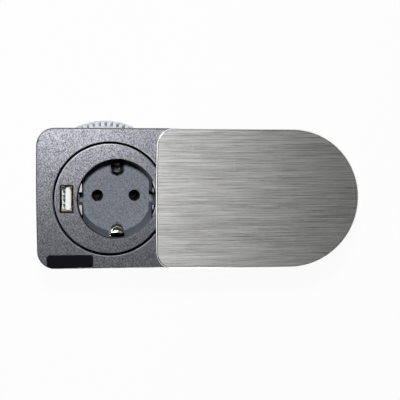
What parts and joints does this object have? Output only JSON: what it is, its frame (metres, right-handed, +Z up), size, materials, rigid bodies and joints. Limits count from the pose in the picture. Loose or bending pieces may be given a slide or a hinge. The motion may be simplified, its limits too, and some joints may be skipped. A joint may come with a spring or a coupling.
{
  "type": "in-desk power module",
  "caption": "In-desk power module: an earthed mains socket and a USB port in a flat plate, a barrel with a clamping ring nut below, and a D-shaped steel lid that swivels aside.",
  "frame": {"origin": "on the barrel's axis, in the plane where the plate's underside seats on the desk", "axes": "+Z up out of the desk, +X from the barrel towards the lid's pivot, +Y to the back edge of the plate"},
  "size_m": [0.1639, 0.075, 0.0854],
  "materials": {
    "anthracite_plastic": "fine grained, matt",
    "badge_black": "glossy, bare",
    "carrier_thermoset": "matt insulating moulding",
    "nickelled_spring_brass": "nickel plated, bright",
    "contact_brass": "plain brass",
    "zinced_screw_steel": "zinc plated",
    "usb_shell_steel": "plated sheet steel",
    "usb_tongue_white": "white moulding",
    "usb_contact_gold": "plated contact springs",
    "board_green": "glass-fibre board",
    "core_ferrite": "ferrite, dull",
    "coil_tape_yellow": "taped winding",
    "capacitor_sleeve_blue": "sleeved can",
    "capacitor_sleeve_black": "sleeved can",
    "lead_brown": "insulated wire",
    "lead_blue": "insulated wire",
    "bottom_cover_grey": "matt",
    "ring_nut_translucent": "natural, slightly translucent",
    "lid_brushed_steel": "brushed along the lid's length",
    "lid_carrier_black": "matt",
    "glide_ring_natural": "natural low-friction plastic"
  },
  "bodies": {
    "module": {"base_housing": "anthracite_plastic", "badge_plate": "badge_black", "socket_face": "anthracite_plastic", "earth_contact": "nickelled_spring_brass", "live_contact": "contact_brass", "neutral_contact": "contact_brass", "contact_carrier": "carrier_thermoset", "usb_shell": "usb_shell_steel", "usb_tongue": "usb_tongue_white", "usb_contact_1": "usb_contact_gold", "usb_contact_2": "usb_contact_gold", "usb_contact_3": "usb_contact_gold", "usb_contact_4": "usb_contact_gold", "charger_board": "board_green", "transformer_core": "core_ferrite", "transformer_coil": "coil_tape_yellow", "input_capacitor": "capacitor_sleeve_black", "output_capacitor": "capacitor_sleeve_blue", "live_lead": "lead_brown", "neutral_lead": "lead_blue", "bottom_cover": "bottom_cover_grey", "ring_nut": "ring_nut_translucent", "carrier_screw_1": "zinced_screw_steel", "carrier_screw_2": "zinced_screw_steel", "cover_screw_1": "zinced_screw_steel", "cover_screw_2": "zinced_screw_steel", "insert_screw_1": "zinced_screw_steel", "insert_screw_2": "zinced_screw_steel", "live_terminal_screw": "zinced_screw_steel", "neutral_terminal_screw": "zinced_screw_steel", "earth_terminal_screw": "zinced_screw_steel"},
    "lid": {"lid_plate": "lid_brushed_steel", "lid_carrier": "lid_carrier_black", "glide_ring": "glide_ring_natural", "pivot_washer": "zinced_screw_steel", "pivot_screw": "zinced_screw_steel"}
  },
  "joints": [
    {"name": "lid_swing", "type": "hinge", "parent": "module", "child": "lid", "pos_m": [0.033, 0, 0.006], "axis": [0, 0, 1], "range_deg": [0, 180]}
  ]
}
